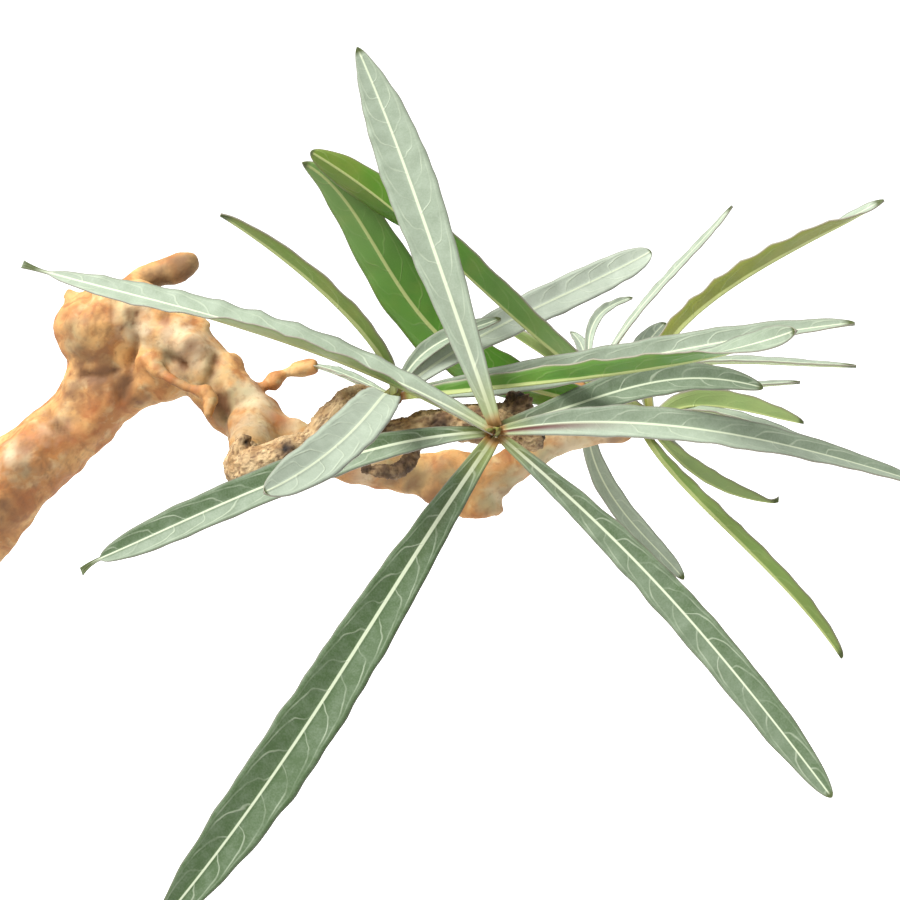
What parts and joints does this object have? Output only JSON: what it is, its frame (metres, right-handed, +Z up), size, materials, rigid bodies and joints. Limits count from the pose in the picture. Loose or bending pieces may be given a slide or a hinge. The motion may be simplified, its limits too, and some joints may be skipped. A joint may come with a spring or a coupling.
{
  "type": "potted adenium somalense",
  "caption": "Bare-trunked desert rose in a plain terracotta pot: swollen caudex, leaning knobbly trunk, crooked branches and rosettes of long narrow grey-green leaves.",
  "frame": {"origin": "centre of the pot's flat base, on the surface it stands on", "axes": "+Z up, +X towards the side that the trunk and branches lean to, -Y towards the front, where the longest leaves hang forward"},
  "size_m": [0.3596, 0.2078, 0.3497],
  "materials": {
    "terracotta": "matte",
    "soil": "matte",
    "bark": "matte",
    "leaf": "satin"
  },
  "bodies": {
    "root": {"terracotta_pot": "terracotta", "potting_soil": "soil", "woody_body": "bark", "rosette_a_leaves": "leaf", "rosette_b_leaves": "leaf", "rosette_c_leaves": "leaf", "rosette_d_leaves": "leaf"}
  },
  "joints": []
}
